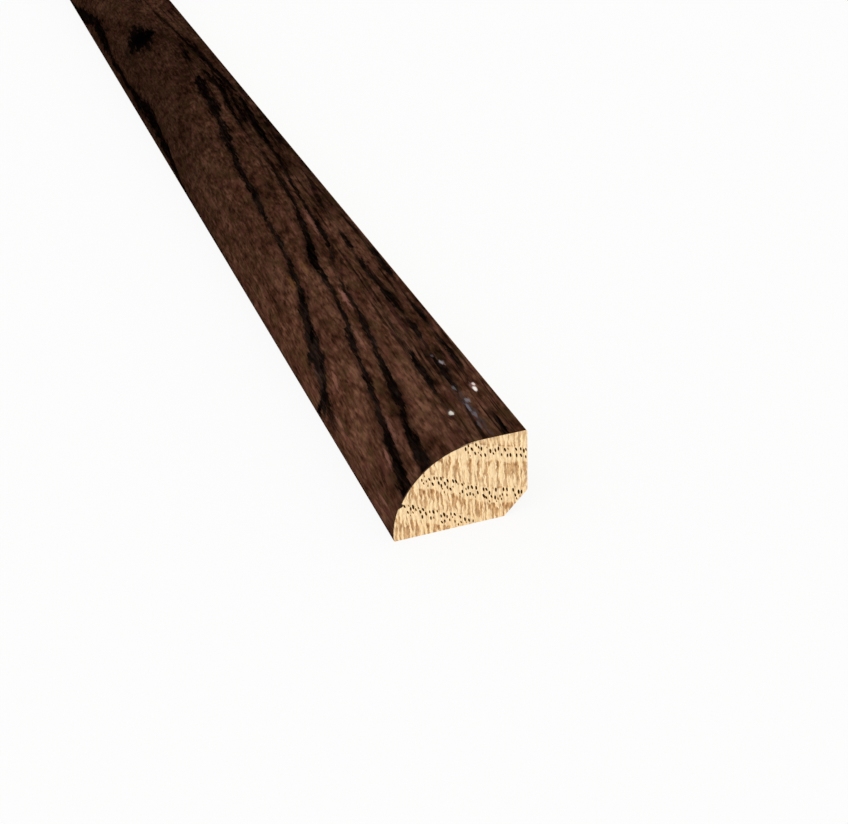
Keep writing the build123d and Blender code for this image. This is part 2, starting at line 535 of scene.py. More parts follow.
RINGS = (
    GrowthRing(
        ((0, 13.9), (8, 12.7), (10.5, 11.6), (12.2, 11.1), (14.2, 10.5), (16, 9.95), (17.8, 9.6),
         (19.05, 9.1)),
        ((10.4, 11.8, 1.2), (10.8, 12.2, 1.0), (10.75, 11.2, 0.8), (11.0, 10.65, 0.6), (11.25, 11.6, 1.25),
         (11.85, 12.1, 1.1), (12.2, 11.65, 1.0), (12.58, 11.35, 1.15), (11.7, 10.85, 1.1),
         (12.15, 10.85, 0.7), (12.5, 10.35, 1.0), (13.1, 10.25, 1.15), (13.35, 11.35, 0.65),
         (13.82, 10.7, 1.3), (14.25, 10.2, 0.95), (14.52, 10.65, 1.2), (14.95, 10.8, 1.15),
         (15.4, 9.75, 1.0), (15.88, 10.4, 1.3), (16.3, 10.45, 0.75), (16.22, 9.45, 1.1), (16.65, 9.4, 1.25),
         (17.45, 10.1, 1.1), (18.1, 10.0, 1.1), (18.55, 9.6, 1.2), (18.85, 9.75, 0.9), (17.52, 9.15, 1.25),
         (18.15, 9.0, 1.15), (18.82, 8.6, 1.0))),
    GrowthRing(
        ((0, 10.6), (2.5, 9.6), (4.5, 8.5), (6, 8.0), (7.5, 7.1), (8.8, 6.8), (10, 5.8), (11.3, 5.2),
         (12.8, 4.5), (14.2, 3.8), (15.8, 3.7), (17.2, 3.2), (19.05, 3.0)),
        ((4.25, 8.55, 1.0), (4.6, 9.1, 0.7), (4.85, 8.25, 0.85), (4.47, 8.0, 0.85), (5.05, 7.5, 0.75),
         (5.27, 8.45, 1.1), (5.72, 7.6, 1.25), (5.95, 8.45, 1.2), (6.33, 8.35, 0.95), (6.55, 7.55, 1.15),
         (6.87, 8.15, 1.15), (6.9, 7.05, 1.1), (7.0, 6.6, 0.8), (7.4, 7.25, 1.25), (7.78, 7.6, 1.25),
         (7.7, 6.6, 1.0), (7.27, 5.95, 0.75), (8.15, 6.2, 1.1), (8.55, 7.35, 1.15), (8.95, 7.2, 1.2),
         (8.5, 6.5, 0.7), (9.2, 6.75, 0.75), (9.8, 6.5, 0.95), (10.05, 6.6, 0.7), (9.8, 5.4, 1.2),
         (9.42, 5.2, 0.8), (10.3, 5.7, 0.85), (10.62, 5.85, 1.1), (11.15, 5.75, 1.3), (11.75, 5.5, 1.3),
         (10.45, 4.75, 1.05), (10.87, 4.8, 1.15), (11.3, 4.55, 0.95), (11.95, 4.7, 1.15), (11.6, 4.1, 0.6),
         (12.77, 5.0, 1.2), (13.18, 4.9, 1.2), (13.6, 4.25, 1.2), (12.8, 3.95, 1.35), (13.15, 3.6, 1.1),
         (13.87, 3.6, 1.05), (14.4, 3.3, 1.3), (14.52, 4.5, 1.2), (13.58, 2.9, 0.8), (14.8, 3.0, 0.8),
         (14.6, 2.65, 0.6), (15.1, 3.35, 0.9), (15.3, 2.85, 0.9), (15.45, 3.5, 0.9), (15.6, 4.3, 1.2),
         (16.1, 4.15, 1.15), (16.1, 3.25, 0.9), (17.0, 3.85, 1.15), (17.3, 2.95, 1.1), (17.78, 3.35, 1.3),
         (18.2, 3.25, 1.25), (17.5, 2.35, 0.9), (17.95, 2.6, 0.6))),
    GrowthRing(
        ((0, 5.6), (2.2, 4.6), (3.3, 4.1), (4.5, 3.3), (5.5, 2.9), (7, 2.1), (8.3, 1.7), (9.6, 1.0),
         (11, 0.4), (12, -0.2), (13.5, -1.4), (19.05, -1.9)),
        ((1.72, 5.15, 1.1), (2.3, 5.1, 0.7), (2.55, 4.55, 1.1), (2.9, 4.75, 1.4), (3.25, 4.25, 1.0),
         (3.63, 4.4, 0.85), (2.15, 4.1, 1.0), (2.85, 3.9, 0.8), (2.5, 3.5, 0.6), (3.85, 3.75, 1.1),
         (4.25, 4.0, 1.1), (4.62, 3.25, 1.15), (4.1, 2.9, 1.15), (5.15, 3.4, 1.0), (5.67, 3.25, 1.3),
         (6.2, 3.25, 0.85), (5.28, 2.4, 1.1), (5.68, 2.35, 0.8), (6.72, 2.35, 1.1), (7.15, 2.45, 1.35),
         (7.55, 2.05, 1.1), (8.1, 2.3, 1.0), (8.62, 2.1, 1.2), (6.8, 1.35, 1.0), (7.2, 1.4, 1.05),
         (7.9, 1.4, 0.9), (8.3, 1.75, 0.7), (8.63, 1.0, 0.9), (9.4, 1.5, 1.05), (10.05, 0.95, 1.25),
         (9.5, 0.65, 0.9), (9.08, 0.38, 0.9), (10.62, 0.65, 1.15), (11.2, 0.38, 1.0), (10.2, 0.45, 0.6),
         (7.2, 0.65, 0.5))),
)


@dataclass(frozen=True)
class MapRow:
    """One row of the bake map: the surface and the stretch of the strip that it holds, and its height."""

    surface: Surface
    start: float
    end: float
    tall: float


# The show face's near stretch is drawn largest. The rest of it and the raw sides follow in shorter rows.
MAP_ROWS = (
    MapRow(Surface.STAINED_FACE, 0.0, 200.0, 0.132),
    MapRow(Surface.STAINED_FACE, 200.0, 460.0, 0.093),
    *(MapRow(Surface.STAINED_FACE, start, start + 305.0, 0.068)
      for start in (460.0, 765.0, 1070.0, 1375.0, 1680.0)),
    *(MapRow(Surface.LONG_GRAIN, start, start + 400.0, 0.035)
      for start in (0.0, 400.0, 800.0, 1200.0, 1600.0)),
)


@dataclass(frozen=True)
class FaceNodes:
    """What the parts of the show face's material share: the adder, the places and the patterns by name."""

    add: Adder
    place: bpy.types.Node
    gone: Socket  # distance from the near end
    girth: Socket
    gap: Socket
    half: Socket
    noise: dict[str, bpy.types.Node]
    crumbs: bpy.types.Node  # the crumbling of an edge, about 0


@dataclass(frozen=True)
class StainedOak:
    """Oak, planed and moulded, wiped with a dark walnut stain and lacquered satin.

    The stain soaks into the open growth lines until they are nearly black, shades off beside them and leaves
    the dense wood between red-brown and finely streaked. The thin lacquer lies flat and throws no mirror.
    """

    name: str = "oak_moulded_walnut_stain_satin_lacquer"
    ground: Ramp = ((0.24, "22130c"), (0.42, "3d2317"), (0.56, "4f3325"), (0.78, "714d3b"))
    line: str = "060302"
    pooled: Ramp = ((0.40, "030202"), (0.52, "0f0a08"), (0.60, "211713"), (0.70, "3a2922"))
    grains: tuple[Grain, ...] = (
        Grain("fibre", 2.2, 0.42, 3.0, 0.55, 0.82),  # bundles of fibres
        Grain("fleck", 2.6, 1.2, 2.0, 0.5, 0.62),  # where the stain pools between bundles
        Grain("mottle", 13.0, 3.4, 3.0, 0.55, 0.72),  # patches that took more stain
        Grain("cloud", 34.0, 9.0, 2.0, 0.5, 0.3),
        Grain("hue", 7.0, 2.2, 3.0, 0.6),  # greener patches
        Grain("blush", 5.0, 1.6),  # redder patches
        Grain("tick", 2.6, 0.40),  # closed pores
        Grain("bead", 6.0, 3.0),  # how a growth line thickens and thins
        Grain("stray", 4.5, 0.7, 2.0, 0.55),  # how it strays
        Grain("crumb", 1.7, 0.32, 2.0, 0.6),  # its ragged edge
        Grain("core", 3.4, 0.42),  # wood left inside it
        Grain("check", 5.0, 1.0, 3.0, 0.6),  # the knot's ragged outline
        Grain("batch", 240.0, 90.0),  # slow change along the whole strip
        Grain("ebb", 7.0, 1.1),  # how black a growth line is along its length
        Grain("strand", 20.0, 0.75),  # fine open grain that runs along with the growth lines
    )
    apart: Span = (31.0, 7.0)  # how far each pattern is shifted from the last, so that no two agree
    tints: tuple[Tint, ...] = (
        Tint("hue", 0.50, 0.64, "47351f", 0.4),
        Tint("blush", 0.52, 0.66, "6a3f36", 0.28),
        Tint("tick", 0.60, 0.70, "060302", 0.55),
    )
    strand_follow: float = 0.4  # how closely the fine open grain follows the girth
    strand_edge: Span = (0.53, 0.60)
    crest: Span = (16.0, 20.0)  # the girths between which it comes to the fore
    crest_strength: Span = (0.1, 0.8)

    near_tone: float = 1.09  # how light the ground is at the near end
    deep_tone: float = 0.41  # and along the darker stretch further from the near end
    deepens: Span = (12.0, 182.0)  # where it turns from one to the other
    end_tone: float = 0.82  # how much darker the last of it is, beside the sawn end
    end_reach: float = 26.0
    recovers: Span = (215.0, 420.0)  # and where it lightens again
    batch_noise: Span = (0.35, 0.65)
    batch_lift: Span = (0.05, 0.5)  # by how much
    patch_core: float = 0.2  # how far out a patch keeps its full tone

    bead_noise: Span = (0.32, 0.68)
    bead_width: Span = (1.125, 1.875)  # how far a line's stain spreads, times its open grain's half width
    throw: Span = (2.2, 0.4)  # how far it strays: times its half width, and more
    crumble: float = 1.1  # how deep its edge crumbles
    core_reach: float = 0.66  # how much of its spread is solid
    fringe: Span = (1.05, 0.08)  # where its edge ends: times its spread, and more
    halo: Span = (1.3, 0.8)  # and where the shade beside it ends
    halo_strength: float = 0.42
    core_noise: Span = (0.36, 0.50)
    core_least: float = 0.8  # how dark it is where wood is left inside
    shows: Span = (0.03, 0.24)  # the half widths between which a line comes to its full strength
    knot_edge: Span = (0.66, 0.92)
    mark_edge: Span = (0.5, 1.1)
    deepening: float = 2.0  # how much faster the lines darken than the ground
    toe_shadow: Span = (0.25, 1.0)  # the girths over which the painted shadow along the toe's floor edge ends
    toe_shadow_strength: float = 0.75

    fibre_height: float = 0.35  # of a growth line's depth
    bump_strength: float = 0.35
    bump_depth: float = 0.12
    fibre_noise: Span = (0.3, 0.7)
    roughness: Span = (0.49, 0.65)
    mirror: float = 0.0

    def material(self, patches: Sequence[Patch], knot: Mark, marks: Sequence[Mark]) -> bpy.types.Material:
        """Builds the show face's material.

        Args:
            patches: where its ground is lighter or darker.
            knot: the knot that is drawn on it.
            marks: its other marks, each laid over the last.

        Returns:
            The material.
        """
        material, tree = new_material(self.name)
        face = self.lay_out(tree)
        add, noise = face.add, face.noise
        depth = self.depth(face, patches)
        ground = add("VectorMath", {0: self.wood(face), "Scale": depth}, operation="SCALE")
        dark = add("Math", (self.growth_lines(face), self.dead_knot(face, knot)), operation="MAXIMUM")
        soaked = add("Math", (noise["core"], noise["ebb"]), operation="ADD")
        soaked = add("Math", (soaked, 0.5), operation="MULTIPLY")
        inside = add("ValToRGB", (soaked,), stops=self.pooled)
        deepest = add("Math", (depth, self.deepening), operation="POWER")
        inside = add("VectorMath", {0: inside, "Scale": deepest}, operation="SCALE")
        colour = add("Mix", {FACTOR: dark, UNDER: ground, OVER: inside}, data_type="RGBA")
        # painted shadow: the face is turned nearly black just above the toe's floor corner
        toe_shadow = add("MapRange", (face.girth, *self.toe_shadow, self.toe_shadow_strength, 0.0))
        colour = add("Mix", {FACTOR: toe_shadow, UNDER: colour, OVER: linear(self.line)}, data_type="RGBA")
        for mark in marks:
            out = mark.draw(add, face.place)
            out = add("Math", (face.crumbs, mark.ragged, out), operation="MULTIPLY_ADD")
            amount = add("MapRange", (out, *self.mark_edge, mark.strength, 0.0))
            colour = add("Mix", {FACTOR: amount, UNDER: colour, OVER: linear(mark.code)}, data_type="RGBA")

        height = add("Math", (noise["fibre"], self.fibre_height), operation="MULTIPLY")
        height = add("Math", (height, dark), operation="SUBTRACT")
        bump = add("Bump", {
            "Strength": self.bump_strength, "Distance": self.bump_depth * MM, "Height": height})
        satin = add("MapRange", (noise["fibre"], *self.fibre_noise, *self.roughness))
        shader = add("BsdfPrincipled", {
            "Base Color": colour, "Roughness": satin, "Normal": bump, "Specular IOR Level": self.mirror})
        add("OutputMaterial", {"Surface": shader})
        return material

    def lay_out(self, tree: bpy.types.NodeTree) -> FaceNodes:
        """Adds the places and patterns that the rest of the material reads.

        Args:
            tree: the material's node tree.

        Returns:
            The shared nodes.
        """
        add = partial(add_node, tree)
        place = add("UVMap", uv_map=FACE_MAP)
        parts = add("SeparateXYZ", (place,)).outputs
        gap = add("Attribute", attribute_name=GAP).outputs["Fac"]
        half = add("Attribute", attribute_name=HALF).outputs["Fac"]
        follow = add("Math", (parts["Y"], self.strand_follow, gap), operation="MULTIPLY_ADD")
        beside_lines = add("CombineXYZ", (parts["X"], follow))
        noise = {}
        for number, grain in enumerate(self.grains):
            base = beside_lines if grain.name == "strand" else place
            shift = (0, self.apart[0] * number, self.apart[1] * number)
            noise[grain.name] = grain.draw(add, base, Location=shift)
        crumbs = add("Math", (noise["crumb"], 0.5), operation="SUBTRACT")
        return FaceNodes(add, place, parts["X"], parts["Y"], gap, half, noise, crumbs)

    def wood(self, face: FaceNodes) -> bpy.types.Node:
        """Adds the stained wood between the growth lines.

        Args:
            face: the shared nodes.

        Returns:
            Its colour, before the stain's depth is reckoned in.
        """
        add = face.add
        tone: Source | float = 0.5 - 0.5 * sum(grain.share for grain in self.grains)
        for grain in self.grains:
            if grain.share:
                tone = add("Math", (face.noise[grain.name], grain.share, tone), operation="MULTIPLY_ADD")
        wood = add("ValToRGB", (tone,), stops=self.ground)
        crest = add("MapRange", (face.girth, *self.crest, *self.crest_strength))
        strands = add("MapRange", (face.noise["strand"], *self.strand_edge, 0.0, 1.0))
        strands = add("Math", (strands, crest), operation="MULTIPLY")
        wood = add("Mix", {FACTOR: strands, UNDER: wood, OVER: linear(self.line)}, data_type="RGBA")
        for tint in self.tints:
            amount = add("MapRange", (face.noise[tint.grain], tint.low, tint.high, 0.0, tint.strength))
            wood = add("Mix", {FACTOR: amount, UNDER: wood, OVER: linear(tint.code)}, data_type="RGBA")
        return wood

    def depth(self, face: FaceNodes, patches: Sequence[Patch]) -> bpy.types.Node:
        """Adds how light or dark the ground is: along the strip, and in each patch.

        Args:
            face: the shared nodes.
            patches: where the ground is lighter or darker.

        Returns:
            A factor on the wood's lightness.
        """
        add = face.add
        deeper = add("MapRange", (face.gone, *self.deepens, self.near_tone, self.deep_tone),
                     interpolation_type="SMOOTHSTEP")
        batch = add("MapRange", (face.noise["batch"], *self.batch_noise, *self.batch_lift))
        later = add("MapRange", (face.gone, *self.recovers, 0.0, 1.0))
        depth = add("Math", (later, batch, deeper), operation="MULTIPLY_ADD")
        beside = add("MapRange", (face.gone, 0.0, self.end_reach, self.end_tone, 1.0))
        depth = add("Math", (depth, beside), operation="MULTIPLY")
        for patch in patches:
            out = patch.draw(add, face.place)
            lift = add("MapRange", (out, self.patch_core, 1.0, patch.tone, 1.0),
                       interpolation_type="SMOOTHSTEP")
            depth = add("Math", (depth, lift), operation="MULTIPLY")
        return depth

    def growth_lines(self, face: FaceNodes) -> bpy.types.Node:
        """Adds the stain in the growth lines: solid in the core, ragged at the edge, shading off beside it.

        Args:
            face: the shared nodes.

        Returns:
            How strongly a line shows.
        """
        add, noise = face.add, face.noise
        reach = add("MapRange", (noise["bead"], *self.bead_noise, *self.bead_width))
        reach = add("Math", (reach, face.half), operation="MULTIPLY")
        strays = add("Math", (noise["stray"], 0.5), operation="SUBTRACT")
        throw = add("Math", (face.half, *self.throw), operation="MULTIPLY_ADD")
        off = add("Math", (strays, throw, face.gap), operation="MULTIPLY_ADD")
        off = add("Math", (off,), operation="ABSOLUTE")
        off = add("Math", (face.crumbs, self.crumble, off), operation="MULTIPLY_ADD")
        inner = add("Math", (reach, self.core_reach), operation="MULTIPLY")
        outer = add("Math", (reach, *self.fringe), operation="MULTIPLY_ADD")
        shaded = add("Math", (reach, *self.halo), operation="MULTIPLY_ADD")
        solid = add("MapRange", (off, inner, outer, 1.0, 0.0),
                    interpolation_type="SMOOTHSTEP")
        filled = add("MapRange", (noise["core"], *self.core_noise, self.core_least, 1.0))
        solid = add("Math", (solid, filled), operation="MULTIPLY")
        shade = add("MapRange", (off, inner, shaded, self.halo_strength, 0.0),
                    interpolation_type="SMOOTHSTEP")
        line = add("Math", (solid, shade), operation="MAXIMUM")
        there = add("MapRange", (face.half, *self.shows, 0.0, 1.0))
        return add("Math", (line, there), operation="MULTIPLY")

    def dead_knot(self, face: FaceNodes, knot: Mark) -> bpy.types.Node:
        """Adds the knot's dead wood.

        Args:
            face: the shared nodes.
            knot: where it is and how ragged it is.

        Returns:
            How strongly it shows.
        """
        add = face.add
        checks = add("Math", (face.noise["check"], 0.5), operation="SUBTRACT")
        out = knot.draw(add, face.place)
        out = add("Math", (checks, knot.ragged, out), operation="MULTIPLY_ADD")
        return add("MapRange", (out, *self.knot_edge, 1.0, 0.0))


@dataclass(frozen=True)
class PlanedOak:
    """Oak, planed and left raw, along the grain.

    Pale straw-brown wood with fine darker pore dashes and soft bands, matt and dry, as it leaves the planer.
    """

    name: str = "oak_planed_raw_long_grain"
    ground: Ramp = ((0.30, "b58d5f"), (0.50, "cda877"), (0.70, "e0c196"))
    pore: str = "7a5636"
    pore_edge: Span = (0.62, 0.70)
    pore_strength: float = 0.8
    fibre: Grain = Grain("fibre", 22.0, 0.7, 4.0, 0.6)
    dash: Grain = Grain("dash", 5.0, 0.28)
    dash_shift: Place = (9, 5, 3)
    pore_depth: float = 0.1
    bump_strength: float = 0.4
    roughness: float = 0.75
    mirror: float = 0.3

    def material(self) -> bpy.types.Material:
        """Builds the raw sides' material.

        Returns:
            The material.
        """
        material, tree = new_material(self.name)
        add = partial(add_node, tree)
        place = add("UVMap", uv_map=FACE_MAP)
        ground = add("ValToRGB", (self.fibre.draw(add, place),), stops=self.ground)
        dashes = self.dash.draw(add, place, Location=self.dash_shift)
        pores = add("MapRange", (dashes, *self.pore_edge, 0.0, self.pore_strength))
        colour = add("Mix", {FACTOR: pores, UNDER: ground, OVER: linear(self.pore)}, data_type="RGBA")
        bump = add("Bump", {
            "Strength": self.bump_strength, "Distance": self.pore_depth * MM, "Height": pores}, invert=True)
        shader = add("BsdfPrincipled", {
            "Base Color": colour, "Roughness": self.roughness, "Normal": bump,
            "Specular IOR Level": self.mirror})
        add("OutputMaterial", {"Surface": shader})
        return material


@dataclass(frozen=True)
class SawnOak:
    """Oak, cut square across the grain with a fine saw and left raw.

    Cream wood with crisp tan rays that stand up through it, wavy and a little ragged, darkest just under each
    ring, and a smooth pale band round each row of open vessels. Each ray carries a painted highlight along
    one side and painted shade along the other. Dry and matt.
    """

    width: float  # of the strip
    round_middle: Span  # the middle of its round edge, across and up
    round_reach: Span  # and how wide and tall that is
    name: str = "oak_sawn_raw_end_grain"
    cream: Ramp = ((0.30, "f1cb95"), (0.50, "ffdfaf"), (0.70, "ffe8bf"))
    tan: Ramp = ((0.34, "9a6d43"), (0.45, "ba8b5c"), (0.56, "d2a472"), (0.70, "ebc391"))
    wave: Grain = Grain("wave", 10.0, 1.5, 4.0, 0.6, height=1.2)  # how often a ray wanders to a side
    wave_reach: float = 0.62
    stain: Grain = Grain("stain", 10.0, 1.1, height=1.6)  # where the smooth bands swell and shrink
    stain_reach: float = 1.3
    speckle: Grain = Grain("speckle", 10.0, 0.3, 3.0, 0.6, height=0.55)
    fleck: Grain = Grain("fleck", 10.0, 0.42, 3.0, 0.55, height=0.95)  # a fleck of the wood between rays

    ray_cell: Place = (10.0, 0.54, 2.7)  # a ray's depth, its pitch, and how tall it stands
    wave_scale: float = 0.314  # at which the wave texture has one stripe to each pitch
    evenness: float = 0.08  # how evenly the rays are spaced
    ray_edge: float = 0.04
    lean: float = 3.0  # degrees from upright
    painted_emboss_shift: float = 0.13  # how far the shifted copy of the rays, used for the painted highlight and shade, is moved across
    painted_emboss: float = 1.3  # how strong the painted highlight and painted shade along each ray are

    calm: Span = (-0.85, 1.25)  # how far the smooth band reaches above and below a ring's middle
    calm_above: Span = (-0.2, 0.1)  # how softly it ends, above
    calm_below: float = 0.3  # and below
    passed: float = 0.3  # this much above the band, a ring no longer counts
    far: Span = (9.0, 99.0)  # further under than any ring, and further still
    fade: Span = (0.8, 4.0)  # how far under the band the rays fade
    faded: float = 0.55  # and to what strength
    least: float = 0.15  # how strongly a ray shows inside a smooth band
    lowest: float = -2.0  # what a ring's curve calls 0, in height
    reach: float = 16.0  # and what it calls 1, above that

    crept: Span = (0.98, 0.988)  # where the stain that crept over the round edge ends, of its radius
    crept_uneven: float = 0.006
    crept_above: float = 4.9  # how high above the floor it begins
    crept_soft: float = 0.1  # and how softly
    crept_code: str = "3a241b"
    drop: tuple[float, float, float, float] = (-8.45, 5.35, 0.5, 0.36)  # a drop of it: across, up, half sizes
    drop_edge: Span = (0.85, 1.05)
    endless: float = 99.0  # how far a round or a drop goes on into the wood, in metres
    bump_strength: float = 0.3
    bump_depth: float = 0.08
    roughness: float = 0.85
    mirror: float = 0.1

    def material(self, rings: Sequence[GrowthRing]) -> bpy.types.Material:
        """Builds the end faces' material.

        Args:
            rings: the growth rings that cross the section.

        Returns:
            The material.
        """
        material, tree = new_material(self.name)
        add = partial(add_node, tree)
        place = add("TexCoord").outputs["Object"]
        parts = add("SeparateXYZ", (place,)).outputs
        wobble = add("Math", (self.stain.draw(add, place, MM), 0.5), operation="SUBTRACT")
        wobble = add("Math", (wobble, self.stain_reach), operation="MULTIPLY")

        # rays that wander from side to side: the place is shifted across before they are drawn
        waves = add("Math", (self.wave.draw(add, place, MM), 0.5), operation="SUBTRACT")
        waves = add("Math", (waves, self.wave_reach * MM), operation="MULTIPLY")
        aside = add("CombineXYZ", {"Y": waves})
        wavy = add("VectorMath", (place, aside), operation="ADD")
        lean = (radians(self.lean), 0, 0)
        # the second copy of the rays, shifted across, serves only the painted highlight and shade
        rays = [self.rays(add, wavy, lean, shift) for shift in (0.0, self.painted_emboss_shift * MM)]
        middle = 0.5 + self.evenness / 2
        ray = add("MapRange", (rays[0], middle - self.ray_edge, middle + self.ray_edge, 0.0, 1.0))
        amount = add("Math", (ray, self.ray_strength(add, parts, rings, wobble)), operation="MULTIPLY")

        cream = add("ValToRGB", (self.speckle.draw(add, place, MM),), stops=self.cream)
        tan_wood = add("ValToRGB", (self.fleck.draw(add, wavy, MM, Rotation=lean),), stops=self.tan)
        colour = add("Mix", {FACTOR: amount, UNDER: cream, OVER: tan_wood}, data_type="RGBA")

        # painted highlight and painted shade: each ray is painted lighter along one side and darker along the
        # other
        painted_emboss = add("Math", (rays[1], rays[0]), operation="SUBTRACT")
        painted_emboss = add("Math", (painted_emboss, self.painted_emboss, 1.0), operation="MULTIPLY_ADD")
        colour = add("VectorMath", {0: colour, "Scale": painted_emboss}, operation="SCALE")
        crept = self.crept_stain(add, place, parts, wobble)
        colour = add("Mix", {FACTOR: crept, UNDER: colour, OVER: linear(self.crept_code)}, data_type="RGBA")
        bump = add("Bump", {
            "Strength": self.bump_strength, "Distance": self.bump_depth * MM, "Height": rays[0]})
        shader = add("BsdfPrincipled", {
            "Base Color": colour, "Roughness": self.roughness, "Normal": bump,
            "Specular IOR Level": self.mirror})
        add("OutputMaterial", {"Surface": shader})
        return material

    def rays(self, add: Adder, wavy: Source, lean: Place, shift: float) -> bpy.types.Node:
        """Adds the rays: even stripes, made uneven.

        Args:
            add: adds a node.
            wavy: the place, shifted so that the rays wander.
            lean: how the rays are turned.
            shift: how far they are moved across, in metres.

        Returns:
            How near a ray's middle each place is.
        """
        size = tuple(side * MM for side in self.ray_cell)
        stood = add("Mapping", {"Vector": wavy, "Location": (0, shift, 0), "Rotation": lean, "Scale": size},
                    vector_type="TEXTURE")
        uneven = add("TexNoise", {"Vector": stood, "Scale": 1.0})
        stripes = add("TexWave", {"Vector": stood, "Scale": self.wave_scale, "Distortion": 0.0},
                      bands_direction="Y")
        return add("Math", (stripes, self.evenness, uneven), operation="MULTIPLY_ADD")

    def ray_strength(
        self, add: Adder, parts: Any, rings: Sequence[GrowthRing], wobble: Source,
    ) -> bpy.types.Node:
        """Adds how strongly the rays show, from how far each place is under the nearest ring above it.

        Args:
            add: adds a node.
            parts: the place's three parts.
            rings: the growth rings.
            wobble: how much the smooth bands swell and shrink.

        Returns:
            The strength.
        """
        across = add("Math", (parts["Y"], 1 / (self.width * MM), 0.5), operation="MULTIPLY_ADD")
        up = add("Math", (parts["Z"], 1 / MM), operation="MULTIPLY")
        high, low = self.calm
        under: Source | float = self.far[0]
        for ring in rings:
            course = [(y / self.width, (z - self.lowest) / self.reach) for y, z in ring.course]
            curve = add("FloatCurve", {"Value": across}, course=[course[0], course[-1], *course[1:-1]])
            height = add("Math", (curve, self.reach, self.lowest), operation="MULTIPLY_ADD")
            below = add("Math", (height, up), operation="SUBTRACT")
            passed = add("Math", (below, high - self.passed), operation="LESS_THAN")
            below = add("Math", (passed, self.far[1], below), operation="MULTIPLY_ADD")
            under = add("Math", (under, below), operation="MINIMUM")
        under = add("Math", (under, wobble), operation="ADD")
        above = add("MapRange", (under, *(high + edge for edge in self.calm_above), 1.0, 0.0))
        beneath = add("MapRange", (under, low, low + self.calm_below, 0.0, 1.0))
        fading = add("MapRange", (under, *(low + edge for edge in self.fade), 1.0, self.faded))
        strength = add("Math", (beneath, fading), operation="MULTIPLY")
        strength = add("Math", (strength, above), operation="MAXIMUM")
        return add("Math", (strength, 1 - self.least, self.least), operation="MULTIPLY_ADD")

    def crept_stain(self, add: Adder, place: Source, parts: Any, wobble: Source) -> bpy.types.Node:
        """Adds the stain that crept a little way over the round edge, with one drop that reached further.

        Args:
            add: adds a node.
            place: the point on the object.
            parts: its three parts.
            wobble: how uneven the stain's edge is.

        Returns:
            How strongly it shows.
        """
        middle, top = self.round_middle
        wide, tall = self.round_reach
        rounded = add("Mapping", {
            "Vector": place, "Location": (0, middle * MM, top * MM),
            "Scale": (self.endless, wide * MM, tall * MM)}, vector_type="TEXTURE")
        radius = add("VectorMath", (rounded,), operation="LENGTH").outputs["Value"]
        radius = add("Math", (wobble, self.crept_uneven, radius), operation="MULTIPLY_ADD")
        crept = add("MapRange", (radius, *self.crept, 0.0, 1.0))
        begins = [(self.crept_above + side * self.crept_soft) * MM for side in (-1, 1)]
        upper = add("MapRange", (parts["Z"], *begins, 0.0, 1.0))
        left = add("MapRange", (parts["Y"], middle * MM, 0.0, 0.0, 1.0))
        crept = add("Math", (crept, upper), operation="MULTIPLY")
        crept = add("Math", (crept, left), operation="MULTIPLY")
        across, up, half_wide, half_tall = self.drop
        dropped = add("Mapping", {
            "Vector": place, "Location": (0, across * MM, up * MM),
            "Scale": (self.endless, half_wide * MM, half_tall * MM)}, vector_type="TEXTURE")
        drop = add("VectorMath", (dropped,), operation="LENGTH").outputs["Value"]
        drop = add("MapRange", (drop, *self.drop_edge, 1.0, 0.0))
        return add("Math", (crept, drop), operation="MAXIMUM")


@dataclass(frozen=True)
class VesselWall:
    """The inside of oak's open vessels, which the saw cut across.

    Brown at the mouth, with painted shade that darkens it to nearly black deeper inside. Dry and rough.
    """

    name: str = "oak_vessel_wall_painted_depth_shade"
    # the wall's brown at the mouth, then painted shade down to nearly black at the bottom
    shades: Ramp = ((0.0, "bd8a46"), (0.22, "935f22"), (0.5, "67400f"), (1.0, "422606"))
    speck: float = 0.25  # size of its mottling
    speck_detail: float = 1.0
    speck_share: float = 0.3
    roughness: float = 0.9
    mirror: float = 0.1

    def material(self, half_length: float, depth: float) -> bpy.types.Material:
        """Builds the vessels' material.

        Args:
            half_length: how far the sawn ends are from the strip's middle, in metres.
            depth: how deep the vessels are open, in millimetres.

        Returns:
            The material.
        """
        material, tree = new_material(self.name)
        add = partial(add_node, tree)
        place = add("TexCoord").outputs["Object"]
        mottle = add("TexNoise", {
            "Vector": place, "Scale": 1 / (self.speck * MM), "Detail": self.speck_detail})
        gone = add("SeparateXYZ", (place,))
        inside = add("Math", (gone,), operation="ABSOLUTE")
        # painted shade: the wall is darkened the further it lies below the sawn end
        deep = add("MapRange", (inside, half_length, half_length - depth * MM))
        mixed = add("Math", (mottle, self.speck_share, deep), operation="MULTIPLY_ADD")
        colour = add("ValToRGB", (mixed,), stops=self.shades)
        shader = add("BsdfPrincipled", {
            "Base Color": colour, "Roughness": self.roughness, "Specular IOR Level": self.mirror})
        add("OutputMaterial", {"Surface": shader})
        return material


@dataclass(frozen=True)
class Run:
    """A length of the strip, and the rounds of cuts that divide it."""

    length: float
    rounds: tuple[int, ...]


